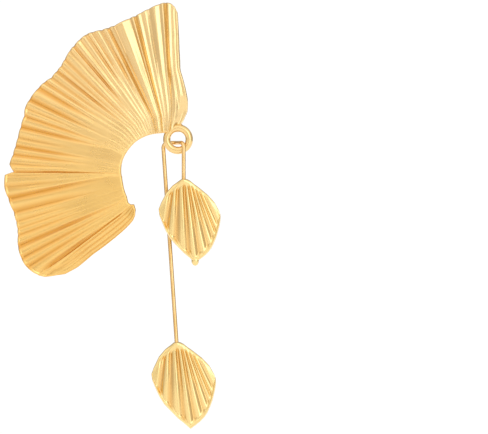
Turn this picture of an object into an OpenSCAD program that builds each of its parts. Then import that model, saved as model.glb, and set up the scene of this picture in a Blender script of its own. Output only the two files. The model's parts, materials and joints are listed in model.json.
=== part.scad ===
// Pleated fan earring: a crescent of pressed sheet with a soldered ring at its lower
// corner, an ear post behind it, and a bent wire that hangs in the ring with a fluted
// leaf on each end.
//
// Everything is drawn as it lies in front of you: +X right, +Z up, +Y away from you, with
// the centre that the pleats run towards at 0, 0. hung() then carries every piece to the
// part's own frame, whose origin is on the ear post, where the ear lobe meets the pad.

/* [Fan] */
// Thickness of the pleated sheet
sheet_t = 0.8; // [0.6:0.1:1.0]
// Depth of the pleats, as a share of the depths in the fold table
pleat_share = 1; // [0.4:0.1:1.2]
// How far the outer rim sweeps back behind the inner edge
rim_sweep = 1.2; // [0:0.1:2]
// How far the outer rim waves forward and back
rim_wave = 0.4; // [0:0.1:0.6]
// How far the corner under the ring is curled back
corner_curl = 0.9; // [0.6:0.1:1.2]

/* [Ring] */
// Outside diameter of the soldered ring
ring_d = 6; // [5.8:0.1:6.2]
// Diameter of the ring's own wire
ring_wire = 1.5; // [1.3:0.1:1.5]

/* [Ear post] */
// Diameter of the post
post_d = 0.8; // [0.7:0.05:1]
// Length of the post behind its pad
post_l = 10; // [8:0.5:12]
// Diameter of the pad
pad_d = 5; // [4:0.5:6]
// Thickness of the pad
pad_t = 0.8; // [0.6:0.1:1]

/* [Drop wire] */
// Diameter of the hanging wire
wire_d = 0.8; // [0.6:0.1:0.8]
// Radius of each bend, to the middle of the wire
bend_r = 1; // [0.9:0.1:1.1]
// Lean of the long leg away from the short one's direction, in degrees
leg_lean = 3.9; // [3:0.1:5]
// Gap between the hanging wire and the ring
wire_gap = 0.2; // [0.1:0.05:0.3]

/* [Leaves] */
// Thickness of each leaf
leaf_t = 0.8; // [0.6:0.1:1]
// How far the middle of a leaf swells forward
leaf_swell = 0.7; // [0.3:0.1:1]
// Depth of the flutes, as a share of the depths in the leaf table
flute_share = 1; // [0.4:0.1:1.2]
// Width of the raised border along a leaf's lower edge
border_w = 0.6; // [0.4:0.1:0.8]
// Depth of the socket in a leaf's cap that takes the wire
socket_l = 1.6; // [1.2:0.1:2]
// Gap round the wire in its socket
socket_gap = 0.1; // [0.05:0.05:0.15]

/* [Hidden] */
gold = "gold";
pale_gold = "khaki";

// Where things are, in the drawing's own plane
ring_x = 2.4;
ring_z = 7.35;
ring_y = 0.5;
front_leg_x = 3.55;
rear_leg_x = -0.55;
bend_top_z = 6.65;
upper_leaf_z = -0.45;
lower_leaf_z = -33.1;
post_x = -11.15;
post_z = 16;
pad_face_y = 1.6;
// How far the whole earring turns on its post, so that the drop hangs plumb
hang_turn = 2.82;

// One row for each valley of the pleats, from the tall end round to the low end:
// angle from the right at the rim, depth, radius at which it runs out, and rim radius
FOLDS = [
    [86.0, 0.1, 10, 32.8],
    [87.0, 0.1, 14, 33.9],
    [88.4, 0.2, 14, 34.6],
    [90.2, 0.8, 10, 34.8],
    [92.3, 0.5, 20, 34.5],
    [96.0, 0.7, 18, 33.7],
    [98.8, 0.3, 16, 33.1],
    [100.9, 0.8, 12, 32.7],
    [103.0, 0.7, 12, 32.5],
    [109.1, 0.6, 9, 31.9],
    [111.2, 0.7, 9, 31.9],
    [113.7, 0.7, 16, 32.0],
    [116.9, 0.6, 20, 32.4],
    [119.3, 0.7, 18, 32.6],
    [122.3, 0.4, 18, 32.4],
    [125.3, 0.7, 14, 32.0],
    [127.5, 0.3, 10, 31.7],
    [131.0, 0.5, 9, 31.0],
    [133.7, 0.4, 12, 30.5],
    [136.0, 0.6, 12, 30.4],
    [139.4, 0.4, 14, 30.3],
    [142.2, 0.5, 16, 30.8],
    [145.2, 0.6, 18, 31.1],
    [150.8, 0.6, 16, 31.4],
    [154.2, 0.3, 20, 31.4],
    [157.0, 0.5, 14, 30.9],
    [161.3, 0.7, 14, 30.8],
    [165.5, 0.3, 20, 30.7],
    [168.8, 0.6, 16, 30.8],
    [172.0, 0.5, 16, 31.0],
    [175.7, 0.3, 20, 31.5],
    [178.4, 0.6, 9, 30.6],
    [179.6, 0.2, 20, 32.3],
    [183.9, 0.3, 20, 32.5],
    [188.0, 0.7, 12, 32.0],
    [193.3, 0.5, 14, 31.4],
    [197.0, 0.3, 20, 31.4],
    [199.6, 0.3, 18, 31.6],
    [201.8, 0.4, 18, 32.0],
    [205.4, 0.7, 9, 32.9],
    [209.7, 0.5, 12, 33.4],
    [213.2, 0.5, 16, 33.4],
    [217.4, 0.8, 13, 32.6],
    [219.8, 0.2, 20, 31.6],
    [222.5, 0.2, 20, 29.4],
];
// Radius of the inner edge, by the fold angle at the rim
INNER_EDGE = [
    [86, 10.8], [86.6, 10.0], [87.7, 9.3], [89.6, 8.8], [95, 8.6], [107, 8.6], [125, 8.9],
    [140, 9.1], [165, 9.2], [179, 8.9], [192, 8.7], [204, 8.8], [213, 9.2], [217, 9.0],
    [219, 8.5], [222.5, 9.2],
];
// How far, in mm, a pleat passes to the right of the centre or above it, by the fold angle at
// the rim. Inside the radius lean_end a pleat turns no further.
LEAN = [
    [86, 0], [90, 0.7], [95, 1.8], [101, 2], [110, 2.8], [112, 2.6], [126, 2.7], [137, 2.9],
    [151, 1.8], [157, 2.1], [162, 2.8], [168, 1], [172, 0.5], [178.4, 0.4], [183.9, 1.3],
    [188, 2.4], [193, 0.4], [197, 0], [205, -1.2], [210, -0.9], [217.4, -0.7], [222.5, 0],
];
lean_end = 12;
// How far each end edge has spread, in degrees, by radius
TALL_END_SPREAD = [
    [10.4, 11.6], [11.5, 13.7], [13.5, 14.6], [14.7, 13.4], [15.8, 12.1], [18.8, 7.4],
    [21.4, 3.8], [25.3, 2.2], [28.7, 1.2], [33.2, 0],
];
LOW_END_SPREAD = [
    [9.2, 6.5], [10, 9.6], [11, 11], [12, 10.8], [13.6, 9.8], [16.8, 7.5], [21.2, 4.7],
    [25.4, 3.5], [28.2, 1.7], [29.4, 0],
];
// The share of the tall end's spread fades to 1/e over this many degrees
spread_reach = 3;
// The low end spreads only past this fold
low_end_fold = 217.4;
// The corner is curled back before this fold angle, and comes to its full curl over this many
// degrees. The curl fades out towards this radius, over this many millimetres.
curl_end = 88.6;
curl_width = 2;
curl_reach = 17;
curl_fade = 4;
steps_per_fold = 4;
rows = 9;
wave_period = 31;
wave_peak = 120;
mid_rim = 32;
mid_inner = 9;

// One row for each flute line of a leaf, left to right, measured from the wire's entry:
// top x, top z, foot x, foot z, and how deep the line lies
LEAF_LINES = [
    [-5.20, -6.35, -5.20, -6.65, 0.0],
    [-4.70, -5.10, -5.05, -7.80, 0.0],
    [-3.60, -2.95, -4.55, -9.10, 0.0],
    [-2.30, -1.50, -3.75, -11.00, 0.8],
    [-1.75, -1.10, -2.80, -12.60, 0.0],
    [-1.20, -0.70, -1.60, -13.90, 0.8],
    [-0.55, -0.20, -0.10, -15.50, 0.0],
    [0.00, 0.00, 1.10, -16.50, 0.8],
    [0.45, -0.10, 2.35, -17.65, 0.0],
    [0.90, -0.25, 3.35, -16.95, 0.7],
    [1.20, -0.40, 4.35, -16.20, 0.0],
    [1.50, -0.60, 5.25, -15.30, 0.6],
    [1.85, -0.90, 5.85, -14.45, 0.0],
    [2.20, -1.20, 6.35, -13.40, 0.5],
    [2.55, -1.45, 6.70, -12.60, 0.0],
    [2.90, -1.70, 6.95, -11.90, 0.5],
    [3.35, -2.05, 7.20, -11.00, 0.0],
    [3.90, -2.50, 7.45, -10.10, 0.4],
    [5.00, -3.40, 7.60, -9.30, 0.0],
    [6.40, -4.95, 7.68, -8.80, 0.0],
    [7.35, -6.70, 7.70, -8.30, 0.0],
    [7.65, -7.60, 7.68, -7.90, 0.0],
];
// Where the leaf begins on the left, and how wide it is
leaf_left = -5.2;
leaf_width = 12.9;
// The upper leaf is this much of the lower one's size, and has a nub of this radius at its tip
upper_leaf_size = 0.96;
nub_r = 0.75;
nub_x = 2.3;
nub_z = -16.75;
leaf_rows = 10;
border_rows = 3;
border_h = 0.25;
cap_r = 1.5;
cap_extra = 0.6;
flute_start = 2.4;
flute_end = 0.8;
lower_leaf_turn = -1.5;
ring_fn = 48;

// Small helpers
function mix(a, b, t) = a + (b - a) * t;
function ramp(t) = let(c = min(1, max(0, t))) c * c * (3 - 2 * c);
function at(table, k, t) = mix(table[k], table[min(k + 1, len(table) - 1)], t);

// A closed sheet between two grids of points, each a list of columns, seen from the front:
// the columns and the rows of the front grid run clockwise round each of its squares
module sheet_between(front, back) {
    n = len(front);
    m = len(front[0]);
    function spot(i, j) = i * m + j;
    loop = concat(
        [for (i = [0:n - 2]) spot(i, 0)],
        [for (j = [0:m - 2]) spot(n - 1, j)],
        [for (i = [n - 1:-1:1]) spot(i, m - 1)],
        [for (j = [m - 1:-1:1]) spot(0, j)]
    );
    squares = [for (i = [0:n - 2]) for (j = [0:m - 2])
        [spot(i, j), spot(i + 1, j), spot(i + 1, j + 1), spot(i, j + 1)]];
    front_faces = [for (s = squares) each [[s[0], s[1], s[2]], [s[0], s[2], s[3]]]];
    back_faces = [for (f = front_faces) [for (k = [2, 1, 0]) f[k] + n * m]];
    walls = [for (k = [0:len(loop) - 1])
        let(p = loop[k], q = loop[(k + 1) % len(loop)])
        each [[q, p, p + n * m], [q, p + n * m, q + n * m]]];
    polyhedron(
        points = concat([for (c = front) each c], [for (c = back) each c]),
        faces = concat(front_faces, back_faces, walls),
        convexity = 10
    );
}

// Fan: one column of the grid is [rim angle, depth at the rim, run-out radius, rim radius]
function valley(t) = 0.5 + 0.5 * cos(360 * t);
function fold_column(k, t) = let(
        near = t < 0.5 ? FOLDS[k] : FOLDS[k + 1],
        a = mix(FOLDS[k][0], FOLDS[k + 1][0], t),
        rim = mix(FOLDS[k][3], FOLDS[k + 1][3], t)
    ) [a, near[1] * valley(t), near[2], rim];
fold_columns = concat(
    [for (k = [0:len(FOLDS) - 2]) for (s = [0:steps_per_fold - 1])
        fold_column(k, s / steps_per_fold)],
    [fold_column(len(FOLDS) - 2, 1)]
);
function spread_angle(a, r) = a
    - lookup(r, TALL_END_SPREAD) * exp((FOLDS[0][0] - a) / spread_reach)
    + lookup(r, LOW_END_SPREAD)
        * ramp((a - low_end_fold) / (FOLDS[len(FOLDS) - 1][0] - low_end_fold));
function lean(a, r, rim) = let(aside = lookup(a, LEAN))
    asin(aside / max(r, lean_end)) - asin(aside / rim);
function outwardness(r) = max(0, r - mid_inner) / (mid_rim - mid_inner);
function sheet_y(a, r) =
    rim_sweep * pow(outwardness(r), 2)
    - rim_wave * pow(outwardness(r), 1.5) * cos(360 * (a - wave_peak) / wave_period)
    + corner_curl * ramp((curl_end - a) / curl_width) * ramp((curl_reach - r) / curl_fade);
function fold_y(col, r) = pleat_share * col[1]
    * ramp((r - col[2] + 2) / (0.6 * (col[3] - col[2]) + 2));
function fan_point(col, s, side) = let(
        r = mix(lookup(col[0], INNER_EDGE), col[3], s),
        a = spread_angle(col[0], r) - lean(col[0], r, col[3])
    ) [r * cos(a), sheet_y(col[0], r) + fold_y(col, r) + side * sheet_t / 2, r * sin(a)];
function fan_side(side) = [for (c = fold_columns)
    [for (j = [0:rows]) fan_point(c, j / rows, side)]];

module pleated_sheet() {
    sheet_between(fan_side(-1), fan_side(1));
}

module soldered_ring() {
    translate([ring_x, ring_y, ring_z]) rotate([90, 0, 0])
        rotate_extrude($fn = 2 * ring_fn)
            translate([(ring_d - ring_wire) / 2, 0]) circle(d = ring_wire, $fn = ring_fn);
}

// The whole earring turned and moved to hang from the post
module hung() {
    rotate([0, hang_turn, 0])
        translate([-post_x, -(pad_face_y + pad_t), -post_z]) children();
}

module fan() {
    color(gold) hung() union() {
        pleated_sheet();
        soldered_ring();
    }
}

module ear_post() {
    color(pale_gold) hung() translate([post_x, pad_face_y, post_z]) rotate([-90, 0, 0]) {
        cylinder(d = pad_d, h = pad_t, $fn = 64);
        cylinder(d = post_d, h = pad_t + post_l - post_d / 2, $fn = 32);
        translate([0, 0, pad_t + post_l - post_d / 2]) sphere(d = post_d, $fn = 32);
    }
}

// Wire, one stretch after another: each stretch leaves its end to the next one
module straight(length) {
    cylinder(d = wire_d, h = length, $fn = ring_fn);
    translate([0, 0, length]) children();
}
module bend(angle, toward) {
    rotate([0, 0, toward]) {
        translate([bend_r, 0, 0]) rotate([90, 0, 180])
            rotate_extrude(angle = angle, $fn = 2 * ring_fn)
                translate([bend_r, 0]) circle(d = wire_d, $fn = ring_fn);
        translate([bend_r, 0, 0]) rotate([0, angle, 0]) translate([-bend_r, 0, 0]) children();
    }
}

// The wire stands this far in front of and behind the ring's own plane
stand = ring_wire / 2 + wire_gap + wire_d / 2;
front_y = ring_y - stand;
rear_y = ring_y + stand;
// It goes back through the ring a little slantwise, then left behind it
slant = 30;
through_l = (2 * stand - bend_r * (cos(slant) + 1 - sin(slant))) / cos(slant);
behind_x = front_leg_x - (bend_r + through_l) * sin(slant) - bend_r * cos(slant);
behind_l = behind_x - rear_leg_x - bend_r * cos(leg_lean);
rear_top_z = bend_top_z - bend_r * (1 + sin(leg_lean));
lower_leaf_x = rear_leg_x + (rear_top_z - lower_leaf_z) * tan(leg_lean);

module drop_wire() {
    color(gold) hung()
        translate([front_leg_x, front_y, upper_leaf_z - socket_l + socket_gap])
        straight(bend_top_z - bend_r - upper_leaf_z + socket_l - socket_gap)
        bend(90, 90 + slant)
        straight(through_l)
        bend(90 - slant, 90)
        straight(behind_l)
        bend(90 + leg_lean, -90)
        straight((rear_top_z - lower_leaf_z) / cos(leg_lean) + socket_l - socket_gap);
}

// Leaf: lines from the top edge to the foot, with rows crowded into the border
function leaf_line(k, t) = let(
        a = LEAF_LINES[k],
        b = LEAF_LINES[k + 1],
        deep = a[4] > b[4] ? a[4] * valley(t / 2) : b[4] * valley((1 - t) / 2)
    ) [mix(a[0], b[0], t), mix(a[1], b[1], t), mix(a[2], b[2], t), mix(a[3], b[3], t), deep];
leaf_lines = concat(
    [for (k = [0:len(LEAF_LINES) - 2]) each [leaf_line(k, 0), leaf_line(k, 0.5)]],
    [leaf_line(len(LEAF_LINES) - 2, 1)]
);
function row_share(j, long) = let(
        border = min(border_w, long / 2),
        plain = leaf_rows - border_rows
    ) j <= plain ? (j / plain) * (1 - border / long)
        : 1 - border / long * (leaf_rows - j) / border_rows;
function leaf_point(line, j, side) = let(
        top = [line[0], line[1]],
        foot = [line[2], line[3]],
        long = norm(foot - top),
        v = row_share(j, long),
        p = mix(top, foot, v),
        down = v * long,
        up = (1 - v) * long,
        across = (p[0] - leaf_left) / leaf_width,
        swell = leaf_swell * sin(180 * pow(v, 0.8)) * sin(180 * across),
        flute = flute_share * line[4] * ramp(down / flute_start)
            * ramp((up - border_w) / flute_end),
        cap = cap_extra * exp(-pow(norm(p) / cap_r, 2)),
        lip = up < border_w && side < 0 ? border_h * sin(180 * (border_w - up) / border_w) : 0
    ) [p[0], side * (leaf_t / 2 + cap) - swell + flute - lip, p[1]];
function leaf_side(side) = [for (l = leaf_lines)
    [for (j = [0:leaf_rows]) leaf_point(l, j, side)]];

module leaf(size, turn, wire_lean) {
    difference() {
        scale([size, 1, size]) rotate([0, turn, 0]) sheet_between(leaf_side(-1), leaf_side(1));
        rotate([0, 180 - wire_lean, 0]) translate([0, 0, -1])
            cylinder(d = wire_d + 2 * socket_gap, h = socket_l + 1, $fn = ring_fn);
    }
}

module upper_leaf() {
    color(gold) hung() translate([front_leg_x, front_y, upper_leaf_z]) union() {
        leaf(upper_leaf_size, 0, 0);
        translate([nub_x, 0, nub_z]) sphere(r = nub_r, $fn = 32);
    }
}

module lower_leaf() {
    color(gold) hung() translate([lower_leaf_x, rear_y, lower_leaf_z])
        leaf(1, lower_leaf_turn, leg_lean);
}

fan();
ear_post();
drop_wire();
upper_leaf();
lower_leaf();
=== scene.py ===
# %% [markdown]
# # A pleated fan earring in gold
# The earring is a crescent of thin brass sheet, pressed into pleats and gold plated. A
# thick ring is soldered to its lower corner, a bent wire hangs in the ring, and a fluted
# leaf sits on each end of the wire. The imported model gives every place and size, and this
# script gives the same pieces their fine shape and their finish.

# %% Load the frame
import json
import math

import bmesh
import bpy
import numpy as np
from mathutils import Matrix, Vector


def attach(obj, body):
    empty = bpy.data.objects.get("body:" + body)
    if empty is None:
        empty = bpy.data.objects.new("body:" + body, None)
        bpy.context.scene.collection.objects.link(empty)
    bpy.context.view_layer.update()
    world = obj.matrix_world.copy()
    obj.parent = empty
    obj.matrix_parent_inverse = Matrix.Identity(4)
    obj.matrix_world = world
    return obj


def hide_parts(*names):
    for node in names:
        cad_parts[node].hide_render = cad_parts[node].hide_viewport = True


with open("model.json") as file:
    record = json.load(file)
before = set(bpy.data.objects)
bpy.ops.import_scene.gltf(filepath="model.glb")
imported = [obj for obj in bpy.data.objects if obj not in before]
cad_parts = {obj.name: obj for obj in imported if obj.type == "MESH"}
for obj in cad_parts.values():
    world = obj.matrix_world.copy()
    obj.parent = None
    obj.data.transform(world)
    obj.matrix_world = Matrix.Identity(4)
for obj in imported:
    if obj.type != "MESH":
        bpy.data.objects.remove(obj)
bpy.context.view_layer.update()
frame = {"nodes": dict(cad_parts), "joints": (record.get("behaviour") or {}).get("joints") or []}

MM = 0.001


# %% Helpers for objects
def add_object(name, data):
    """Puts a new object with this mesh, curve, lamp or camera into the scene."""
    thing = bpy.data.objects.new(name, data)
    bpy.context.scene.collection.objects.link(thing)
    return thing


def triangles(piece):
    return sum(len(face.vertices) - 2 for face in piece.data.polygons)


def in_mm(box):
    return [[round(v / MM, 2) for v in corner] for corner in box]


def volume_mm3(piece):
    """What the piece encloses. Less than nothing would mean that its faces point inwards."""
    shape = bmesh.new()
    shape.from_mesh(piece.data)
    volume = shape.calc_volume(signed=True)
    shape.free()
    return round(volume / MM ** 3, 1)


# %% [markdown]
# ## The drawing board and the hanging earring
# Jewellers draw a piece flat on the bench. The shapes below are drawn that way in
# millimetres: X to the right, Z up, Y away from the eye, with the centre that the pleats
# run towards at zero. On the ear the whole piece turns a little on its post, until the
# drop hangs plumb. One matrix carries the drawing to the hanging place, and it is found
# from the hinge in the frame, which is the centre of the soldered ring.

# %% From the drawing to the part
hinge = frame["joints"][0]
RING_CENTRE = (2.4, 0.5, 7.35)
HANG_TURN = math.radians(2.82)

board = (
    Matrix.Translation(Vector(hinge["pos_m"]))
    @ Matrix.Rotation(HANG_TURN, 4, "Y")
    @ Matrix.Scale(MM, 4)
    @ Matrix.Translation(-Vector(RING_CENTRE))
)
print("pleat centre in the part, m:", [round(v, 5) for v in board @ Vector((0, 0, 0))])

# %% [markdown]
# ## Camera
# The photograph looks straight at the fan from far away, so a long lens far off gives its
# flat view. One millimetre of the drawing covers five pixels, and the whole frame of 488 by
# 434 pixels is kept, so that the earring falls on the same pixels. The pleat centre falls
# 166 pixels from the left and 176 from the top.

# %% Camera
FRAME_PX = (488, 434)
PX_PER_MM = 5.0
CENTRE_PX = (166, 176)
CAMERA_AWAY_M, SEES_TO_M = 1.2, 20
SENSOR_MM = 36.0

camera = add_object("camera", bpy.data.cameras.new("camera"))
bpy.context.scene.camera = camera
middle = Vector((
    (FRAME_PX[0] / 2 - CENTRE_PX[0]) / PX_PER_MM,
    0,
    (CENTRE_PX[1] - FRAME_PX[1] / 2) / PX_PER_MM,
))
camera.rotation_mode = "QUATERNION"
camera.rotation_quaternion = (
    Matrix.Rotation(HANG_TURN, 3, "Y") @ Matrix.Rotation(math.pi / 2, 3, "X")
).to_quaternion()
camera.location = (board @ middle) + Vector((0, -CAMERA_AWAY_M, 0))
camera.data.sensor_width = SENSOR_MM
camera.data.lens = SENSOR_MM * CAMERA_AWAY_M / (FRAME_PX[0] / PX_PER_MM * MM)
camera.data.clip_end = SEES_TO_M
print("lens, mm:", round(camera.data.lens, 1))

# %% [markdown]
# ## Nodes and colours
# Three small helpers keep the node trees short. The first finds the result that a node
# gives. The second adds a node, sets its values and links its inputs: an input may be given
# a value, another node's socket, or another node, whose result is then meant. The third
# turns the sRGB colour that a swatch shows into the linear one that the renderer adds light
# with.

# %% Helpers for nodes
def result(node):
    return next(socket for socket in node.outputs if socket.enabled)


def add_node(tree, kind, links=None, **settings):
    node = tree.nodes.new(kind)
    for name, value in settings.items():
        setattr(node, name, value)
    for socket, value in (links or {}).items():
        if isinstance(value, bpy.types.Node):
            value = result(value)
        if isinstance(value, bpy.types.NodeSocket):
            tree.links.new(value, node.inputs[socket])
        else:
            node.inputs[socket].default_value = value
    return node


def linear(hex_colour):
    channels = [int(hex_colour[k:k + 2], 16) / 255 for k in (1, 3, 5)]
    return [
        c / 12.92 if c <= 0.04045 else ((c + 0.055) / 1.055) ** 2.4 for c in channels
    ] + [1.0]


print("mid gold, linear:", [round(v, 3) for v in linear("#F5C878")])

# %% [markdown]
# ## Gold plate
# All of the metal is gold plated brass, so its body is one recipe. Polished metal shows only
# what it reflects, and its colour tints the reflection. Three things make it look handled.
# The roughness drifts a little. Fine lines run along the sheet's pleats or along the drawn
# wire. And a thin clear lacquer lies over all of it: it is the coat, and it whitens the
# bright lights. The wear could be painted as an image, but nodes keep every size a plain
# number. A piece whose points have no value for polish and painted sheen counts as
# unpolished. The tints below paint sheen and shade into the colour of the sheet and leaves.
#
# Real buffing and drawing lines are a few hundredths of a millimetre apart, too fine to
# show at five pixels a millimetre, so they are drawn five to ten times as coarse. Their
# width and length are given in millimetres, and the pattern's scale is worked out from them:
# one unit of the UV maps is 10 mm, and one unit of Object coordinates is a metre.

# %% Gold plate
UV_UNIT_MM = 10
OBJECT_UNIT_MM = 1000
LACQUER_ROUGH, LACQUER_IOR = 0.15, 1.6
LINE_DETAIL = 3
SHEET_DRIFT_MM, WIRE_DRIFT_MM = 5, 2.5
DRIFT_SPAN = (0.3, 0.7)
DRIFT_ROUGH = (-0.05, 0.06)
BUFFED_GAIN = 0.06


def gold_plate(name, tint, rough, lines_mm, line_depth, lacquer, from_uv=True):
    """Gold plate with lines of the given sizes in mm, and a function that makes its colour."""
    unit, drift_mm = (UV_UNIT_MM, SHEET_DRIFT_MM) if from_uv else (OBJECT_UNIT_MM, WIRE_DRIFT_MM)
    material = bpy.data.materials.new(name)
    material.use_nodes = True
    tree = material.node_tree
    surface = tree.nodes["Principled BSDF"]
    surface.inputs["Metallic"].default_value = 1.0
    surface.inputs["Coat Weight"].default_value = lacquer
    surface.inputs["Coat Roughness"].default_value = LACQUER_ROUGH
    surface.inputs["Coat IOR"].default_value = LACQUER_IOR
    place = add_node(tree, "ShaderNodeTexCoord").outputs["UV" if from_uv else "Object"]
    line_scale = [unit / size for size in lines_mm]
    lines = add_node(tree, "ShaderNodeMapping", {"Vector": place, "Scale": line_scale})
    fine = add_node(tree, "ShaderNodeTexNoise", {
        "Vector": lines, "Scale": 1, "Detail": LINE_DETAIL,
    })
    drift = add_node(tree, "ShaderNodeTexNoise", {"Vector": place, "Scale": unit / drift_mm})
    tree.links.new(result(tint(tree, drift)), surface.inputs["Base Color"])
    spread = add_node(tree, "ShaderNodeMapRange", {
        "Value": drift, "From Min": DRIFT_SPAN[0], "From Max": DRIFT_SPAN[1],
        "To Min": rough + DRIFT_ROUGH[0], "To Max": rough + DRIFT_ROUGH[1],
    })
    buffed = add_node(tree, "ShaderNodeAttribute", attribute_name="buffed").outputs["Fac"]
    smoother = add_node(tree, "ShaderNodeMath", {0: buffed, 1: BUFFED_GAIN}, operation="MULTIPLY")
    polish = add_node(tree, "ShaderNodeMath", {0: spread, 1: smoother}, operation="SUBTRACT")
    tree.links.new(result(polish), surface.inputs["Roughness"])
    relief = add_node(tree, "ShaderNodeBump", {
        "Height": fine, "Strength": 1.0, "Distance": line_depth * MM,
    })
    tree.links.new(result(relief), surface.inputs["Normal"])
    return material


# %% [markdown]
# ## Tints for sheet, castings and wire
# The pressed sheet is satin and deep in colour at its low end. Towards its tall end it is
# polished smoother and painted paler, a painted sheen, as an attribute on the points says.
# A second attribute marks the folds and paints them a deeper gold, as painted shade. At the
# very tall end that painted shade fades again, because light bounces twice in its sharp
# folds and deepens them without help. The cast leaves have one bright tone and a deeper one
# in their flutes, which is painted shade as well.
# Wire and post only drift a little between two tones, as plate does where it is handled, so
# theirs is the only tint that uses the drift.

# %% Tints and finishes
FOLD_PALING = 5


def pressed_tint(tree, drift):
    buffed = add_node(tree, "ShaderNodeAttribute", attribute_name="buffed").outputs["Fac"]
    fold = add_node(tree, "ShaderNodeAttribute", attribute_name="recess").outputs["Fac"]
    paled = add_node(tree, "ShaderNodeMath", {0: buffed, 1: FOLD_PALING}, operation="POWER")
    # Paler gold towards the tall end: a painted sheen.
    face = add_node(tree, "ShaderNodeMix", {
        "Factor": buffed, "A": linear("#EAC16F"), "B": linear("#EBCC8F"),
    }, data_type="RGBA")
    # Deeper gold for the folds: painted shade, paler again at the very tall end.
    deep = add_node(tree, "ShaderNodeMix", {
        "Factor": paled, "A": linear("#D2932C"), "B": linear("#E6C68A"),
    }, data_type="RGBA")
    return add_node(tree, "ShaderNodeMix", {
        "Factor": fold, "A": face, "B": deep,
    }, data_type="RGBA")


def cast_tint(tree, drift):
    fold = add_node(tree, "ShaderNodeAttribute", attribute_name="recess").outputs["Fac"]
    # The flutes are painted a deeper gold: painted shade.
    return add_node(tree, "ShaderNodeMix", {
        "Factor": fold, "A": linear("#EDD18C"), "B": linear("#DDA854"),
    }, data_type="RGBA")


def drawn_tint(tree, drift):
    worn = add_node(tree, "ShaderNodeMapRange", {
        "Value": drift, "From Min": DRIFT_SPAN[0], "From Max": DRIFT_SPAN[1],
    })
    return add_node(tree, "ShaderNodeMix", {
        "Factor": worn, "A": linear("#EBC078"), "B": linear("#F4CF90"),
    }, data_type="RGBA")


sheet_gold = gold_plate(
    "satin gold plate on pressed brass", pressed_tint, rough=0.3,
    lines_mm=(0.22, 5, 10), line_depth=0.045, lacquer=0.8,
)
leaf_gold = gold_plate(
    "polished gold plate on cast brass", cast_tint, rough=0.2,
    lines_mm=(0.42, 3.3, 10), line_depth=0.006, lacquer=0.9,
)
wire_gold = gold_plate(
    "gold plate on drawn wire", drawn_tint, rough=0.22,
    lines_mm=(0.25, 0.25, 17), line_depth=0.002, lacquer=0.6, from_uv=False,
)
post_gold = gold_plate(
    "smooth gold plate on the ear post", drawn_tint, rough=0.18,
    lines_mm=(0.33, 3.3, 0.33), line_depth=0.001, lacquer=0.6, from_uv=False,
)
print("finishes:", [m.name for m in bpy.data.materials])

# %% [markdown]
# ## How the sheet is made
# A fan like this is cut flat, and its pleats are pressed in between two dies. The script
# does the same. First comes the blank, a closed shell with a rounded edge, made of a front
# grid and a back grid that share the points along their edge. The front's squares list their
# corners the other way round, so that both sides face outwards. Each point knows how near
# it is to the bottom of a fold, how deep the fold is there and how sharp. Then the press, a
# Geometry Nodes group, pushes the points back by that much. Keeping the two steps apart lets
# one press serve the fan and the leaves, and the folds can be made deeper without drawing
# them again.

# %% Blank shell
def ramp(t):
    c = np.clip(t, 0, 1)
    return c * c * (3 - 2 * c)


def row_shares(rows):
    return 0.5 - 0.5 * np.cos(np.pi * np.arange(rows + 1) / rows)


def edge_distance(x, z):
    """For each point of a grid, the way along its column or row to the nearest edge."""
    def travel(axis):
        step = np.hypot(np.diff(x, axis=axis), np.diff(z, axis=axis))
        pad = [(1, 0) if k == axis else (0, 0) for k in range(2)]
        forward = np.cumsum(np.pad(step, pad), axis=axis)
        return np.minimum(forward, np.take(forward, [-1], axis=axis) - forward)
    return np.minimum(travel(0), travel(1))


EDGE_ROUND = 0.4


def edge_rounding(x, z):
    """The share of its thickness that the sheet has there: nothing at the edge itself."""
    inside = np.clip(edge_distance(x, z) / EDGE_ROUND, 0, 1)
    return np.sqrt(1 - (1 - inside) ** 2)


def shell(name, x, z, front_y, back_y, uv, **values):
    """A closed mesh piece from two grids that meet along their edge, drawn in millimetres."""
    columns, rows = x.shape
    front = np.arange(columns * rows).reshape(columns, rows)
    inner = np.zeros((columns, rows), bool)
    inner[1:-1, 1:-1] = True
    back = front.copy()
    back[inner] = columns * rows + np.arange(inner.sum())
    edge_y = (front_y + back_y) / 2
    front_y = np.where(inner, front_y, edge_y)
    points = np.concatenate([
        np.stack([x, front_y, z], -1).reshape(-1, 3),
        np.stack([x, back_y, z], -1)[inner],
    ])

    def squares(grid):
        corners = [grid[:-1, :-1], grid[1:, :-1], grid[1:, 1:], grid[:-1, 1:]]
        return np.stack(corners, -1).reshape(-1, 4)

    faces = np.concatenate([squares(front)[:, ::-1], squares(back)])
    to_part = np.array(board)
    points = points @ to_part[:3, :3].T + to_part[:3, 3]
    mesh = bpy.data.meshes.new(name)
    mesh.from_pydata(points.tolist(), [], faces.tolist())
    for label, grid in values.items():
        grid = grid + 0 * x
        both = np.concatenate([grid.reshape(-1), grid[inner]]).astype(np.float32)
        mesh.attributes.new(label, "FLOAT", "POINT").data.foreach_set("value", both)
    both_uv = np.concatenate([uv.reshape(-1, 2), uv[inner]]).astype(np.float32)
    corner_uv = both_uv[faces.reshape(-1)].reshape(-1)
    mesh.uv_layers.new(name="UVMap").data.foreach_set("uv", corner_uv)
    mesh.update()
    return add_object(name, mesh)


# %% [markdown]
# ## The press
# The Geometry Nodes group reads the values that each point carries and moves it away from
# the eye. Its inputs are named, so the same group presses the fan and the leaves, each to
# its own depth. A little grain that runs along the folds comes from a fixed seed.

# %% Starting and ending a node group
def new_group(name, inputs):
    group = bpy.data.node_groups.new(name, "GeometryNodeTree")
    group.interface.new_socket("Geometry", in_out="INPUT", socket_type="NodeSocketGeometry")
    for label, kind, value in inputs:
        socket = group.interface.new_socket(label, in_out="INPUT", socket_type=kind)
        if value is not None:
            socket.default_value = value
    group.interface.new_socket("Geometry", in_out="OUTPUT", socket_type="NodeSocketGeometry")
    return group, add_node(group, "NodeGroupInput").outputs


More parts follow.
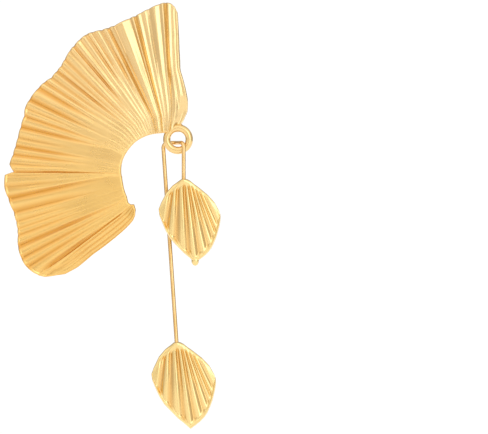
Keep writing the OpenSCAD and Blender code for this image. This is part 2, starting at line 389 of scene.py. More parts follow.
def finish_group(group, geometry, material):
    whole = add_node(group, "GeometryNodeRealizeInstances", {"Geometry": geometry})
    smooth = add_node(group, "GeometryNodeSetShadeSmooth", {"Geometry": whole})
    dressed = add_node(group, "GeometryNodeSetMaterial", {
        "Geometry": smooth, "Material": material,
    })
    add_node(group, "NodeGroupOutput", {"Geometry": dressed})
    inputs = [s.name for s in group.interface.items_tree if s.in_out == "INPUT"]
    print(group.name + ", inputs:", inputs)


# %% The press as a node group
GRAIN_LENGTH_MM, GRAIN_DETAIL = 8.3, 2.0
NOISE_MIDDLE = 0.5

press, asked = new_group("press the folds", [
    ("Depth share", "NodeSocketFloat", 1.0),
    ("Grain width", "NodeSocketFloat", 0.5),
    ("Grain depth", "NodeSocketFloat", 0.0),
    ("Seed", "NodeSocketFloat", 1.0),
    ("Material", "NodeSocketMaterial", None),
])
carried = {
    label: add_node(press, "GeometryNodeInputNamedAttribute", {"Name": label}, data_type=kind)
    for label, kind in (
        ("valley", "FLOAT"), ("press", "FLOAT"), ("sharpness", "FLOAT"), ("grain", "FLOAT"),
        ("UVMap", "FLOAT_VECTOR"),
    )
}
profile = add_node(
    press, "ShaderNodeMath", {0: carried["valley"], 1: carried["sharpness"]}, operation="POWER"
)
fold_depth = add_node(
    press, "ShaderNodeMath", {0: carried["press"], 1: asked["Depth share"]}, operation="MULTIPLY"
)
across = add_node(
    press, "ShaderNodeMath", {0: UV_UNIT_MM, 1: asked["Grain width"]}, operation="DIVIDE"
)
grain_scale = add_node(press, "ShaderNodeCombineXYZ", {
    "X": across, "Y": UV_UNIT_MM / GRAIN_LENGTH_MM,
})
stretched = add_node(
    press, "ShaderNodeVectorMath", {0: carried["UVMap"], 1: grain_scale}, operation="MULTIPLY"
)
grain = add_node(press, "ShaderNodeTexNoise", {
    "Vector": stretched, "W": asked["Seed"], "Scale": 1.0, "Detail": GRAIN_DETAIL,
}, noise_dimensions="4D")
grain_height = add_node(
    press, "ShaderNodeMath", {0: grain, 1: NOISE_MIDDLE}, operation="SUBTRACT"
)
grain_depth = add_node(
    press, "ShaderNodeMath", {0: carried["grain"], 1: asked["Grain depth"]}, operation="MULTIPLY"
)
rough = add_node(
    press, "ShaderNodeMath", {0: grain_height, 1: grain_depth}, operation="MULTIPLY"
)
pushed = add_node(
    press, "ShaderNodeMath", {0: profile, 1: fold_depth, 2: rough}, operation="MULTIPLY_ADD"
)
shift = add_node(press, "ShaderNodeMath", {0: pushed, 1: MM}, operation="MULTIPLY")
offset = add_node(press, "ShaderNodeCombineXYZ", {"Y": shift})
moved = add_node(press, "GeometryNodeSetPosition", {
    "Geometry": asked["Geometry"], "Offset": offset,
})
finish_group(press, moved, asked["Material"])


# %% [markdown]
# A modifier works only while it is live, and the export keeps plain meshes. So each result
# is copied into a mesh of its own, and the modifier goes. Metal that is soldered together is
# joined by a union, which leaves one closed solid as solder does. Parts that are only pushed
# into each other would look the same from outside, but they would stay separate shells.

# %% From modifiers to plain mesh
SHARP_FROM = math.radians(50)


def made_mesh(piece):
    """The piece's mesh with its modifiers worked in."""
    graph = bpy.context.evaluated_depsgraph_get()
    return bpy.data.meshes.new_from_object(piece.evaluated_get(graph), depsgraph=graph)


def run_group(piece, group, **values):
    """Runs the node group on the piece and keeps the result as a plain mesh."""
    modifier = piece.modifiers.new(group.name, "NODES")
    modifier.node_group = group
    for socket in group.interface.items_tree:
        label = socket.name.lower().replace(" ", "_")
        if socket.in_out == "INPUT" and label in values:
            modifier[socket.identifier] = values[label]
    name = piece.name
    made = add_object(name + "_made", made_mesh(piece))
    bpy.data.objects.remove(piece)
    made.name = name
    return made


def join_metal(piece, other):
    """Fuses the other piece into this one, as solder does."""
    modifier = piece.modifiers.new("solder", "BOOLEAN")
    modifier.operation = "UNION"
    modifier.solver = "MANIFOLD"
    modifier.object = other
    mesh = made_mesh(piece)
    piece.modifiers.remove(modifier)
    mesh.shade_smooth()
    mesh.set_sharp_from_angle(angle=SHARP_FROM)
    piece.data = mesh
    bpy.data.objects.remove(other)


# %% [markdown]
# ## The fan
# The fold table is the one that the part was built from: one row for each valley, with the
# angle where it meets the outer rim, its depth, the radius where it runs out towards the
# middle, and the radius of the rim there. The pleats do not all run straight to the centre:
# the lean table says, in millimetres, how far beside it a pleat points. The third table is
# the inner edge. The last two give, at each radius, by how many degrees the ends of the
# sheet are spread.

# %% Tables of the fan
FOLDS = np.array([
    [86.0, 0.1, 10, 32.8], [87.0, 0.1, 14, 33.9], [88.4, 0.2, 14, 34.6], [90.2, 0.8, 10, 34.8],
    [92.3, 0.5, 20, 34.5], [96.0, 0.7, 18, 33.7], [98.8, 0.3, 16, 33.1], [100.9, 0.8, 12, 32.7],
    [103.0, 0.7, 12, 32.5], [109.1, 0.6, 9, 31.9], [111.2, 0.7, 9, 31.9],
    [113.7, 0.7, 16, 32.0], [116.9, 0.6, 20, 32.4], [119.3, 0.7, 18, 32.6], [122.3, 0.4, 18, 32.4],
    [125.3, 0.7, 14, 32.0], [127.5, 0.3, 10, 31.7], [131.0, 0.5, 9, 31.0], [133.7, 0.4, 12, 30.5],
    [136.0, 0.6, 12, 30.4], [139.4, 0.4, 14, 30.3], [142.2, 0.5, 16, 30.8], [145.2, 0.6, 18, 31.1],
    [150.8, 0.6, 16, 31.4], [154.2, 0.3, 20, 31.4], [157.0, 0.5, 14, 30.9], [161.3, 0.7, 14, 30.8],
    [165.5, 0.3, 20, 30.7], [168.8, 0.6, 16, 30.8], [172.0, 0.5, 16, 31.0], [175.7, 0.3, 20, 31.5],
    [178.4, 0.6, 9, 30.6], [179.6, 0.2, 20, 32.3], [183.9, 0.3, 20, 32.5], [188.0, 0.7, 12, 32.0],
    [193.3, 0.5, 14, 31.4], [197.0, 0.3, 20, 31.4], [199.6, 0.3, 18, 31.6], [201.8, 0.4, 18, 32.0],
    [205.4, 0.7, 9, 32.9], [209.7, 0.5, 12, 33.4], [213.2, 0.5, 16, 33.4], [217.4, 0.8, 13, 32.6],
    [219.8, 0.2, 20, 31.6], [222.5, 0.2, 20, 29.4],
])
LEAN = np.array([
    [86, 0], [90, 0.7], [95, 1.8], [101, 2], [110, 2.8], [112, 2.6], [126, 2.7], [137, 2.9],
    [151, 1.8], [157, 2.1], [162, 2.8], [168, 1], [172, 0.5], [178.4, 0.4], [183.9, 1.3],
    [188, 2.4], [193, 0.4], [197, 0], [205, -1.2], [210, -0.9], [217.4, -0.7], [222.5, 0],
])
INNER_EDGE = np.array([
    [86, 10.8], [86.6, 10.0], [87.7, 9.3], [89.6, 8.8], [95, 8.6], [107, 8.6], [125, 8.9],
    [140, 9.1], [165, 9.2], [179, 8.9], [192, 8.7], [204, 8.8], [213, 9.2], [217, 9.0],
    [219, 8.5], [222.5, 9.2],
])
TALL_END_SPREAD = np.array([
    [10.4, 11.6], [11.5, 13.7], [13.5, 14.6], [14.7, 13.4], [15.8, 12.1], [18.8, 7.4],
    [21.4, 3.8], [25.3, 2.2], [28.7, 1.2], [33.2, 0],
])
LOW_END_SPREAD = np.array([
    [9.2, 6.5], [10, 9.6], [11, 11], [12, 10.8], [13.6, 9.8], [16.8, 7.5], [21.2, 4.7],
    [25.4, 3.5], [28.2, 1.7], [29.4, 0],
])
print("folds:", len(FOLDS), "from", FOLDS[0, 0], "to", FOLDS[-1, 0], "degrees")


# %% Reading a table, a pair or a wave
def look_up(table, key):
    return np.interp(key, table[:, 0], table[:, 1])


def between(pair, share):
    return pair[0] + (pair[1] - pair[0]) * share


def waves(count, share):
    return 0.5 - 0.5 * np.cos(2 * np.pi * count * share)


# %% [markdown]
# The blank is a grid. Its columns run from the inner edge to the rim and stand closer
# together where the folds are narrow. A column's turn says where it lies between the folds:
# a whole number is the bottom of a valley, and a half is the ridge beside it. Folds that
# stand close together are pressed less deep, as stiff sheet would be.

# %% Columns and depths
COLUMN_STEP, EXTRA_COLUMNS, COLUMNS_PER_FLUTE = 0.3, 4, 6
LOW_FLUTES, TALL_FLUTES = 5, 3
CROWDED = 1.45

gaps = np.diff(FOLDS[:, 0])
steps = np.ceil(gaps / COLUMN_STEP).astype(int) + EXTRA_COLUMNS
steps[-2:] = LOW_FLUTES * COLUMNS_PER_FLUTE
turns = np.concatenate([k + np.arange(n) / n for k, n in enumerate(steps)] + [[len(steps)]])
order = np.arange(len(FOLDS))
angle = np.interp(turns, order, FOLDS[:, 0])[:, None]
near = np.minimum(np.floor(turns + 0.5).astype(int), len(FOLDS) - 1)
narrowest = np.minimum(np.append(gaps, CROWDED), np.insert(gaps, 0, CROWDED))
depth = (FOLDS[:, 1] * np.minimum(1, narrowest / CROWDED))[near][:, None]
print("columns:", len(turns), "deepest fold, mm:", depth.max())

# %% [markdown]
# At the low end the folds are rounded waves. At the tall end they are creased, with flat
# faces between, so each face catches one panel of the light tent. Further down, a pair of
# numbers that is read with `creased` gives a value first for the rounded folds and then for
# the creased ones.

# %% Profile of the folds
CREASE = 0.8
CREASED_TO, CREASED_OVER = 126, 16

creased = ramp((CREASED_TO - angle) / CREASED_OVER)
round_wave = (0.5 + 0.5 * np.cos(2 * np.pi * turns))[:, None]
flat_wave = (1 - 2 * np.abs(turns - np.round(turns)))[:, None]
valley = round_wave + CREASE * creased * (flat_wave - round_wave)
print("columns with a crease:", np.count_nonzero(creased))

# %% [markdown]
# The rim is nicked a little where a valley reaches it, which gives the scalloped outline of
# cut and pressed sheet. All columns have the same number of points, closer together at the
# inner edge and at the rim, where the sheet is rounded over. Towards both ends of the sheet
# the columns are spread out sideways, as the last two tables say.

# %% Outline of the sheet
FAN_ROWS = 56
NICK, NICK_SHARPNESS = 0.15, 3
LEAN_END = 12
TALL_END_FOLD, LOW_END_FOLD = 90.2, 217.4
SPREAD_REACH = 3

nick = NICK * depth * valley ** NICK_SHARPNESS
rim = np.interp(turns, order, FOLDS[:, 3])[:, None] - nick
inner = look_up(INNER_EDGE, angle)
r = inner + (rim - inner) * row_shares(FAN_ROWS)[None, :]
aside = look_up(LEAN, angle)
lean = np.degrees(np.arcsin(aside / np.maximum(r, LEAN_END)) - np.arcsin(aside / rim))
tall_end = np.clip((TALL_END_FOLD - angle) / (TALL_END_FOLD - FOLDS[0, 0]), 0, 1)
low_end = np.clip((angle - LOW_END_FOLD) / (FOLDS[-1, 0] - LOW_END_FOLD), 0, 1)
spread = (
    angle - lean
    - look_up(TALL_END_SPREAD, r) * np.exp((FOLDS[0, 0] - angle) / SPREAD_REACH)
    + look_up(LOW_END_SPREAD, r) * ramp(low_end)
)
x = r * np.cos(np.radians(spread))
z = r * np.sin(np.radians(spread))
print("flat sheet, mm:", round(np.ptp(x), 1), "by", round(np.ptp(z), 1))

# %% [markdown]
# Before the press the sheet is bent as a whole. Its rim lies further back than its inner
# edge, in slow waves, and the inner corner of the tall end curls back to meet the ring. The
# very rim turns a tenth or two of a millimetre towards the eye, which gives it a bright
# edge.

# %% Bend of the sheet
MID_RIM, MID_INNER = 32, 9
RIM_SWEEP, SWEEP_POWER = 1.2, 2
RIM_WAVE, WAVE_POWER, WAVE_PERIOD, WAVE_PEAK = 0.4, 1.5, 31, 120
CORNER_CURL, CURL_END, CURL_WIDTH = 0.9, 88.6, 2
CURL_TO, CURL_FADE = 17, 4
RIM_CURL, LIP_CURL, CURL_W = 0.1, 0.12, 0.6
LOW_LIP_FROM, MID_LIP_AT, LIP_OVER = 176, 156.5, 3

out = np.maximum(0, r - MID_INNER) / (MID_RIM - MID_INNER)
wave = np.cos(2 * np.pi * (angle - WAVE_PEAK) / WAVE_PERIOD)
corner = ramp((CURL_END - angle) / CURL_WIDTH) * ramp((CURL_TO - r) / CURL_FADE)
bent = RIM_SWEEP * out ** SWEEP_POWER - RIM_WAVE * out ** WAVE_POWER * wave + CORNER_CURL * corner
lip = ramp((angle - LOW_LIP_FROM) / LIP_OVER) + np.exp(-((angle - MID_LIP_AT) / LIP_OVER) ** 2)
curl = (RIM_CURL + LIP_CURL * lip) * ramp((r - rim + CURL_W) / CURL_W)
print("front to back of the bent sheet, mm:", round(np.ptp(bent - curl), 2))

# %% [markdown]
# The finest flutes lie beyond the last deep folds, three at the tall end and five at the low
# end. They are only a tenth or two of a millimetre high, and fade before the rim.

# %% Finest flutes
FINE_DEPTH, TALL_FLUTE_SHARE = 0.2, 0.7
TALL_FLUTES_TO, TALL_FLUTES_FADE = 24, 6
LOW_FLUTES_TO, LOW_FLUTES_FADE = 30, 8
FLUTES_FROM, FLUTES_RISE = 10, 3

tall_flutes = waves(TALL_FLUTES, tall_end) * ramp((TALL_FLUTES_TO - r) / TALL_FLUTES_FADE)
low_flutes = waves(LOW_FLUTES, low_end) * ramp((LOW_FLUTES_TO - r) / LOW_FLUTES_FADE)
flutes = (low_flutes + TALL_FLUTE_SHARE * tall_flutes) * ramp((r - FLUTES_FROM) / FLUTES_RISE)
sheet = bent - curl + FINE_DEPTH * flutes
print("flutes:", TALL_FLUTES, "and", LOW_FLUTES)

# %% [markdown]
# Each fold runs out at its own radius and is pressed deeper towards the rim. The last deep
# fold of the low end is shorter than the others: it starts late and dies away just before
# the rim. The bottoms of the folds, the deep ones most, and those of the flutes at the low
# end are marked for the painted shade of the tint.

# %% How deep the press goes
RUN_LEAD, RUN_SHARE = 2, 0.6
SHORT_DEPTH, SHORT_FROM, SHORT_RISE, SHORT_TO, SHORT_FADE = 0.95, 12, 4, 33, 4.5
OUTER_PRESS, INNER_PRESS = (0.45, 0.42), (0.066, 0.22)
# How much painted shade the deep folds and the low flutes get.
DEEP_FOLD, FLUTE_SHADE = 0.6, 0.7

reach = FOLDS[near, 2][:, None]
run_out = ramp((r - reach + RUN_LEAD) / (RUN_SHARE * (rim - reach) + RUN_LEAD))
short = SHORT_DEPTH * ramp((r - SHORT_FROM) / SHORT_RISE) * ramp((SHORT_TO - r) / SHORT_FADE)
run_out = np.where(FOLDS[near, 0][:, None] == LOW_END_FOLD, run_out * short, run_out)
share = run_out * between(OUTER_PRESS, creased) + between(INNER_PRESS, creased)
# Painted shade: where the folds and the low flutes are darkened.
fold_shade = run_out * np.minimum(1, depth / DEEP_FOLD) * valley
recess = np.maximum(fold_shade, FLUTE_SHADE * low_flutes ** 2)
print("deepest press, mm:", round((depth * share).max(), 2))

# %% [markdown]
# The blank gets its thickness, its UV map and its values, and goes through the press. The
# UV map measures along the pleats, and across them at the sheet's mean radius.

# %% The pressed fan
SHEET_T = 0.8
UV_RADIUS_MM = 20
FOLD_SHARPNESS = (1.5, 1.1)
GRAIN_SHARE = (1, 0.6)
INNER_GRAIN, GRAIN_FROM, GRAIN_OVER = 0.3, 12, 14
# The tall end is polished smoother and painted paler there, a painted sheen.
POLISH_AND_SHEEN_FROM, POLISH_AND_SHEEN_OVER = 205, 110

half = SHEET_T / 2 * edge_rounding(x, z)
outer_grain = ramp((r - GRAIN_FROM) / GRAIN_OVER)
over_pleats = np.radians(angle) * (UV_RADIUS_MM / UV_UNIT_MM)
fan = run_group(
    shell(
        "pleated_fan", x, z, sheet - half, sheet + half,
        uv=np.stack([over_pleats + 0 * r, r / UV_UNIT_MM], -1),
        valley=valley, press=depth * share, sharpness=between(FOLD_SHARPNESS, creased),
        grain=between((INNER_GRAIN, 1), outer_grain) * between(GRAIN_SHARE, creased),
        # Painted shade in the folds, and a painted sheen that pales the tall end.
        recess=recess, buffed=ramp((POLISH_AND_SHEEN_FROM - angle) / POLISH_AND_SHEEN_OVER),
    ),
    press, depth_share=1.0, grain_width=0.45, grain_depth=0.1, seed=3.0, material=sheet_gold,
)
print("fan triangles:", triangles(fan))

# %% [markdown]
# ## Round wire
# The ring and the hanging wire are both round wire, bent to a route. A second node group
# rounds the corners of the route and runs a circle along it. A swept mesh drawn point by
# point would look the same, but here the wire and bend sizes stay two plain numbers.

# %% Round wire along a route
BEND_POINTS = 24

bend, asked = new_group("bend round wire", [
    ("Wire radius", "NodeSocketFloat", 0.0004),
    ("Bend radius", "NodeSocketFloat", 0.001),
    ("Sides", "NodeSocketInt", 24),
    ("Material", "NodeSocketMaterial", None),
])
rounded = add_node(bend, "GeometryNodeFilletCurve", {
    "Curve": asked["Geometry"], "Radius": asked["Bend radius"], "Count": BEND_POINTS,
}, mode="POLY")
circle = add_node(bend, "GeometryNodeCurvePrimitiveCircle", {
    "Resolution": asked["Sides"], "Radius": asked["Wire radius"],
})
tube = add_node(bend, "GeometryNodeCurveToMesh", {
    "Curve": rounded, "Profile Curve": circle, "Fill Caps": True,
})
finish_group(bend, tube, asked["Material"])


def route(name, points, closed=False):
    curve = bpy.data.curves.new(name, "CURVE")
    curve.dimensions = "3D"
    line = curve.splines.new("POLY")
    line.points.add(len(points) - 1)
    for spot, place in zip(line.points, points):
        spot.co = (*(board @ Vector(place)), 1)
    line.use_cyclic_u = closed
    return add_object(name, curve)


# %% [markdown]
# The ring is round, so its route is a circle. It is fused to the sheet's lower corner, with
# a small mound of solder where they meet, and a second mound behind the sheet carries the
# ear post's pad. A mound is a flattened ball, and the nub on the upper leaf is a stretched
# one, so one helper makes them all. Ring and solder are filed and polished smooth, and their
# colour is painted paler, the painted sheen of the sheet's tall end.

# %% Ring and solder
RING_D, RING_WIRE = 6, 1.5
RING_POINTS = 64
SOLDER_CENTRE, SOLDER_RADII = (2.2, 0.8, 9.7), (1.4, 0.5, 0.95)
POST_SOLDER_CENTRE, POST_SOLDER_RADII = (-11.15, 1.0, 16), (2.1, 0.55, 2.1)
# How far ring and solder are polished and painted paler, a painted sheen.
RING_POLISH_AND_SHEEN = 0.8


# Polishes a piece and paints it paler with the sheen of the sheet's tall end.
def give_polish_and_sheen(piece):
    layer = piece.data.attributes.new("buffed", "FLOAT", "POINT")
    layer.data.foreach_set("value", [RING_POLISH_AND_SHEEN] * len(piece.data.vertices))
    return piece


def bead(name, centre, radii, material):
    shape = bmesh.new()
    bmesh.ops.create_uvsphere(shape, u_segments=32, v_segments=20, radius=1)
    shape.transform(board @ Matrix.LocRotScale(Vector(centre), None, Vector(radii)))
    mesh = bpy.data.meshes.new(name)
    shape.to_mesh(mesh)
    shape.free()
    mesh.materials.append(material)
    return add_object(name, mesh)


ring_line = (RING_D - RING_WIRE) / 2
around = [2 * math.pi * k / RING_POINTS for k in range(RING_POINTS)]
ring_route = [
    (
        RING_CENTRE[0] + ring_line * math.cos(a),
        RING_CENTRE[1],
        RING_CENTRE[2] + ring_line * math.sin(a),
    )
    for a in around
]
ring = run_group(
    route("ring", ring_route, closed=True), bend,
    wire_radius=RING_WIRE / 2 * MM, bend_radius=0.0, sides=32, material=sheet_gold,
)
for metal in (
    ring,
    bead("solder", SOLDER_CENTRE, SOLDER_RADII, sheet_gold),
    bead("post_solder", POST_SOLDER_CENTRE, POST_SOLDER_RADII, sheet_gold),
):
    join_metal(fan, give_polish_and_sheen(metal))
print("fan with ring, triangles:", triangles(fan))

# %% [markdown]
# The hanging wire comes up from the upper leaf in front of the ring, goes back through it
# over the lower rim, runs left behind it and comes down to the lower leaf. Its corners are
# found from the wire's own sizes, just as a bender would mark them.

# %% Hanging wire
WIRE_D, BEND_R, WIRE_GAP = 0.8, 1, 0.2
LEG_LEAN = math.radians(3.9)
SLANT = math.radians(30)
FRONT_LEG_X, REAR_LEG_X, BEND_TOP_Z = 3.55, -0.55, 6.65
UPPER_LEAF_Z, LOWER_LEAF_Z = -0.45, -33.1
SOCKET = 1.5

stand = RING_WIRE / 2 + WIRE_GAP + WIRE_D / 2
front_y, rear_y = RING_CENTRE[1] - stand, RING_CENTRE[1] + stand
behind_x = FRONT_LEG_X - 2 * stand * math.tan(SLANT)
rear_top = BEND_TOP_Z - BEND_R * (1 + math.sin(LEG_LEAN))
rear_corner_x = REAR_LEG_X - (BEND_TOP_Z - rear_top) * math.tan(LEG_LEAN)
lower_leaf_x = REAR_LEG_X + (rear_top - LOWER_LEAF_Z) * math.tan(LEG_LEAN)
wire_end = (
    lower_leaf_x + SOCKET * math.sin(LEG_LEAN), rear_y, LOWER_LEAF_Z - SOCKET * math.cos(LEG_LEAN)
)
wire = run_group(
    route("hanging_wire", [
        (FRONT_LEG_X, front_y, UPPER_LEAF_Z - SOCKET),
        (FRONT_LEG_X, front_y, BEND_TOP_Z),
        (behind_x, rear_y, BEND_TOP_Z),
        (rear_corner_x, rear_y, BEND_TOP_Z),
        wire_end,
    ]),
    bend, wire_radius=WIRE_D / 2 * MM, bend_radius=BEND_R * MM, sides=28, material=wire_gold,
)
print("wire box, mm:", in_mm((wire.bound_box[0], wire.bound_box[6])))

# %% [markdown]
# ## The leaves
# Both leaves are castings of one design, the upper one a little smaller and with a nub left
# at its tip. Flutes run from a smooth cap, which takes the wire, down to a raised border
# along the lower edge. The table has one row for each flute line: where it starts on the
# top edge, where it ends on the lower edge, and how deep it lies. Rows with a depth are
# valleys, and the press makes them as it made the fan's folds, to half of their depth, so
# that the broad ridges stay soft and catch the light. A leaf could also be sculpted by hand,
# but a table keeps the flutes straight and both castings alike.

# %% Flute lines of a leaf
LEAF_LINES = np.array([
    [-5.20, -6.35, -5.20, -6.65, 0.0], [-4.70, -5.10, -5.05, -7.80, 0.0],
    [-3.60, -2.95, -4.55, -9.10, 0.0], [-2.30, -1.50, -3.75, -11.00, 0.8],
    [-1.75, -1.10, -2.80, -12.60, 0.0], [-1.20, -0.70, -1.60, -13.90, 0.8],
    [-0.55, -0.20, -0.10, -15.50, 0.0], [0.00, 0.00, 1.10, -16.50, 0.8],
    [0.45, -0.10, 2.35, -17.65, 0.0], [0.90, -0.25, 3.35, -16.95, 0.7],
    [1.20, -0.40, 4.35, -16.20, 0.0], [1.50, -0.60, 5.25, -15.30, 0.6],
    [1.85, -0.90, 5.85, -14.45, 0.0], [2.20, -1.20, 6.35, -13.40, 0.5],
    [2.55, -1.45, 6.70, -12.60, 0.0], [2.90, -1.70, 6.95, -11.90, 0.5],
    [3.35, -2.05, 7.20, -11.00, 0.0], [3.90, -2.50, 7.45, -10.10, 0.4],
    [5.00, -3.40, 7.60, -9.30, 0.0], [6.40, -4.95, 7.68, -8.80, 0.0],
    [7.35, -6.70, 7.70, -8.30, 0.0], [7.65, -7.60, 7.68, -7.90, 0.0],
])
print("flute lines:", len(LEAF_LINES))

# %% [markdown]
# The leaf swells a little towards the eye, most above its middle, and is thicker at its
# cap. A flute starts just below the cap and ends at the border.

# %% Blank of a leaf
STEPS_PER_LINE, LEAF_ROWS = 12, 60
LINE_APART = 1.25
LEAF_T = 0.8
LEAF_LEFT, LEAF_WIDTH = -5.2, 12.9
LEAF_SWELL, SWELL_UP = 0.7, 0.8
CAP_R, CAP_EXTRA = 1.5, 0.6
BORDER_W, BORDER_H = 0.7, 0.25
CAP_EDGE, FLUTE_START, FLUTE_END = 0.8, 1.0, 0.6
FLUTE_SHARPNESS = 1.4


def leaf_blank(name, place, turn, size):
    count = len(LEAF_LINES)
    turns = np.arange((count - 1) * STEPS_PER_LINE + 1) / STEPS_PER_LINE
    order = np.arange(count)
    top_x, top_z, foot_x, foot_z = (
        np.interp(turns, order, LEAF_LINES[:, k])[:, None] for k in range(4)
    )
    low = np.minimum(turns.astype(int), count - 2)
    deeper = np.where(LEAF_LINES[low, 4] > LEAF_LINES[low + 1, 4], low, low + 1)
    away = np.abs(turns - deeper)
    valley = (0.5 + 0.5 * np.cos(np.pi * away))[:, None]
    depth = LEAF_LINES[deeper, 4][:, None]
    share = row_shares(LEAF_ROWS)[None, :]
    x = top_x + (foot_x - top_x) * share
    z = top_z + (foot_z - top_z) * share
    long = np.hypot(foot_x - top_x, foot_z - top_z)
    down, up = share * long, (1 - share) * long
    sideways = np.sin(np.pi * (x - LEAF_LEFT) / LEAF_WIDTH)
    swell = LEAF_SWELL * np.sin(np.pi * share ** SWELL_UP) * sideways
    cap = CAP_EXTRA * np.exp(-(x ** 2 + z ** 2) / CAP_R ** 2)
    half = (LEAF_T / 2 + cap) * edge_rounding(x, z)
    lip = BORDER_H * np.sin(np.pi * np.clip((BORDER_W - up) / BORDER_W, 0, 1))
    press_depth = depth * ramp((down - CAP_EDGE) / FLUTE_START) * ramp((up - BORDER_W) / FLUTE_END)
    front, back = -swell - half - lip, -swell + half
    angle = math.radians(turn)
    turned_x = place[0] + size * (x * math.cos(angle) + z * math.sin(angle))
    turned_z = place[2] + size * (z * math.cos(angle) - x * math.sin(angle))
    uv = np.stack([turns[:, None] * LINE_APART / UV_UNIT_MM + 0 * x, down / UV_UNIT_MM], -1)
    # The flute bottoms carry the painted shade.
    return shell(
        name, turned_x, turned_z, front + place[1], back + place[1], uv,
        valley=valley * (depth > 0), press=press_depth, sharpness=FLUTE_SHARPNESS, grain=1.0,
        recess=press_depth * valley ** FLUTE_SHARPNESS,
    )


# %% Both leaves
UPPER_LEAF_SIZE, LOWER_LEAF_TURN = 0.96, -1.5
LEAF_PRESS = 0.52
NUB_R, NUB_STRETCH = 0.75, 1.35
NUB_X, NUB_Z = 2.3, -16.75

leaves = [
    run_group(
        leaf_blank(name, place, turn, size), press, depth_share=LEAF_PRESS,
        grain_width=0.23, grain_depth=0.04, seed=seed, material=leaf_gold,
    )
    for name, place, turn, size, seed in (
        ("upper_fluted_leaf", (FRONT_LEG_X, front_y, UPPER_LEAF_Z), 0, UPPER_LEAF_SIZE, 5.0),
        ("lower_fluted_leaf", (lower_leaf_x, rear_y, LOWER_LEAF_Z), LOWER_LEAF_TURN, 1, 8.0),
    )
]

nub_centre = (FRONT_LEG_X + NUB_X, front_y, UPPER_LEAF_Z + NUB_Z + NUB_R * (NUB_STRETCH - 1))
join_metal(leaves[0], bead("nub", nub_centre, (NUB_R, NUB_R, NUB_R * NUB_STRETCH), leaf_gold))
print("leaf triangles:", [triangles(leaf) for leaf in leaves])

# %% [markdown]
# ## Putting the pieces on their bodies
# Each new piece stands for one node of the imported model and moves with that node's body, so
# the drop swings in the ring as the part does. The post is out of sight and plain, so it
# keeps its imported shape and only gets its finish.

# %% Bodies and finishes
for piece, body, node, slot in (
    (fan, "fan_body", "fan", "gold_plate"),
    (wire, "drop", "drop_wire", "gold_plate"),
    (leaves[0], "drop", "upper_leaf", "leaf_gold"),
    (leaves[1], "drop", "lower_leaf", "leaf_gold"),
):
    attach(piece, body)
    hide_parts(node)

post = frame["nodes"]["ear_post"]
post.data.materials.clear()
post.data.materials.append(post_gold)
print("volumes, mm3:", {piece.name: volume_mm3(piece) for piece in (fan, wire, *leaves, post)})

# %% [markdown]
# ## Studio
# The photograph has a white ground without a shadow and soft light from all round, as in a
# light tent. Several lamps could give as much light, but polished metal would mirror each
# as a hard spot, where a tent gives broad soft stripes. A bright panel stands to the right
# at eye height and a weaker one to the left, with darker seams beside them, and these give
# the upright pleats of the tall end their light and dark stripes. Above and below the
# panels the tent is even, a little brighter overhead, which keeps the level pleats of the
# low end soft. Behind the earring it is dim. Where it is bright its light is a little
# cooler. The world is the tent, a wide pale floor lies half a metre below, and one large
# and weak lamp stands above the camera. The camera itself sees only the plain white ground.
#
# The tent table has one row for each place across, from the far left at 0 to the far right
# at 1, with the brightness there. A curve node holds values up to 1 only, so the
# brightness is divided by the highest one that it may have, and multiplied again after.

# %% Panels of the tent
TENT = [
    (0.00, 0.75), (0.08, 0.85), (0.18, 1.05), (0.27, 1.15), (0.36, 0.90), (0.45, 0.90),
    (0.54, 0.92), (0.60, 1.3), (0.68, 2.2), (0.79, 2.1), (0.89, 0.8), (1.00, 0.70),
]
TENT_TOP = 2.5

world = bpy.data.worlds.new("light tent")
bpy.context.scene.world = world
world.use_nodes = True
tent = world.node_tree
tent.nodes.clear()
towards = add_node(tent, "ShaderNodeTexCoord").outputs["Generated"]
parts = add_node(tent, "ShaderNodeSeparateXYZ", {"Vector": towards}).outputs
across = add_node(tent, "ShaderNodeMapRange", {"Value": parts["X"], "From Min": -1, "From Max": 1})
panels = add_node(tent, "ShaderNodeFloatCurve", {"Value": across})
points = panels.mapping.curves[0].points
for spot, brightness in TENT[1:-1]:
    points.new(spot, brightness / TENT_TOP)
points[0].location = (TENT[0][0], TENT[0][1] / TENT_TOP)
points[len(points) - 1].location = (TENT[-1][0], TENT[-1][1] / TENT_TOP)
panels.mapping.update()
level = add_node(tent, "ShaderNodeMath", {0: panels, 1: TENT_TOP}, operation="MULTIPLY")
print("brightest panel:", max(brightness for spot, brightness in TENT))

# %% [markdown]
# Each direction has three parts between -1 and 1: X to the right, Y away from the eye and Z
# up. The tent fades from its panels to the even light as Z leaves the middle, from its
# front to the dim back as Y grows, and from below to overhead as Z grows.

# %% Brightness of the tent
EVEN = 0.98
PANEL_HEIGHT, PANEL_FADED = 0.36, 0.58
SIDE, BEHIND = (-0.05, 0.25), 0.5
LEVEL, BELOW, OVERHEAD = (-0.3, 0.6), 0.9, 1.15

height = add_node(tent, "ShaderNodeMath", {0: parts["Z"]}, operation="ABSOLUTE")
off_panel = add_node(tent, "ShaderNodeMapRange", {
    "Value": height, "From Min": PANEL_HEIGHT, "From Max": PANEL_FADED,
})
stood = add_node(tent, "ShaderNodeMix", {"Factor": off_panel, "A": level, "B": EVEN})
front_to_back = add_node(tent, "ShaderNodeMapRange", {
    "Value": parts["Y"], "From Min": SIDE[0], "From Max": SIDE[1], "To Min": 1, "To Max": BEHIND,
})
low_to_high = add_node(tent, "ShaderNodeMapRange", {
    "Value": parts["Z"], "From Min": LEVEL[0], "From Max": LEVEL[1],
    "To Min": BELOW, "To Max": OVERHEAD,
})
round_about = add_node(tent, "ShaderNodeMath", {0: stood, 1: front_to_back}, operation="MULTIPLY")
light = add_node(tent, "ShaderNodeMath", {0: round_about, 1: low_to_high}, operation="MULTIPLY")
print("even light:", EVEN, "behind:", EVEN * BEHIND)

# %% Colour of the tent and the plain ground
COOL_FROM, COOL_TO = 0.9, 1.5
BACKDROP = 1.05

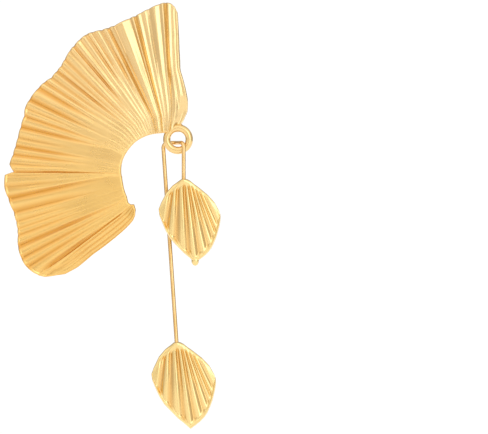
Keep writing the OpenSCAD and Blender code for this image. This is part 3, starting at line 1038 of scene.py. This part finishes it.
cool = add_node(tent, "ShaderNodeMapRange", {
    "Value": stood, "From Min": COOL_FROM, "From Max": COOL_TO,
})
tone = add_node(tent, "ShaderNodeMix", {
    "Factor": cool, "A": linear("#FFF6EA"), "B": linear("#F6FBFF"),
}, data_type="RGBA")
seen = add_node(tent, "ShaderNodeLightPath").outputs["Is Camera Ray"]
shown = add_node(tent, "ShaderNodeMix", {
    "Factor": seen, "A": tone, "B": (1, 1, 1, 1),
}, data_type="RGBA")
strength = add_node(tent, "ShaderNodeMix", {"Factor": seen, "A": light, "B": BACKDROP})
ground = add_node(tent, "ShaderNodeBackground", {"Color": shown, "Strength": strength})
add_node(tent, "ShaderNodeOutputWorld", {"Surface": ground})
print("tent nodes:", len(tent.nodes))

# %% Floor and lamp
FLOOR_Z, FLOOR_SIZE = -0.5, 6
PAPER_ROUGH, PAPER_GLOW = 0.9, 0.4
LAMP_SIZE, LAMP_W = (1.4, 1.0), 1
LAMP_PLACE, LAMP_AIM = Vector((-0.2, -0.9, 0.8)), Vector((0, 0, -0.03))

side = FLOOR_SIZE / 2
corners = [(-side, -side), (side, -side), (side, side), (-side, side)]
floor_mesh = bpy.data.meshes.new("floor")
floor_mesh.from_pydata([(*corner, FLOOR_Z) for corner in corners], [], [(0, 1, 2, 3)])
floor = add_object("floor", floor_mesh)
paper = bpy.data.materials.new("white paper")
paper.use_nodes = True
paper_surface = paper.node_tree.nodes["Principled BSDF"]
paper_surface.inputs["Base Color"].default_value = linear("#F4F4F2")
paper_surface.inputs["Roughness"].default_value = PAPER_ROUGH
paper_surface.inputs["Emission Color"].default_value = (1, 1, 1, 1)
paper_surface.inputs["Emission Strength"].default_value = PAPER_GLOW
floor_mesh.materials.append(paper)

lamp_data = bpy.data.lights.new("soft lamp", "AREA")
lamp_data.shape = "RECTANGLE"
lamp_data.size, lamp_data.size_y = LAMP_SIZE
lamp_data.energy = LAMP_W
lamp = add_object("soft lamp", lamp_data)
lamp.location = LAMP_PLACE
lamp.rotation_mode = "QUATERNION"
lamp.rotation_quaternion = (LAMP_PLACE - LAMP_AIM).to_track_quat("Z", "Y")

bpy.context.scene.view_settings.view_transform = "Standard"
print("floor, m:", FLOOR_SIZE, "lamp, W:", LAMP_W)
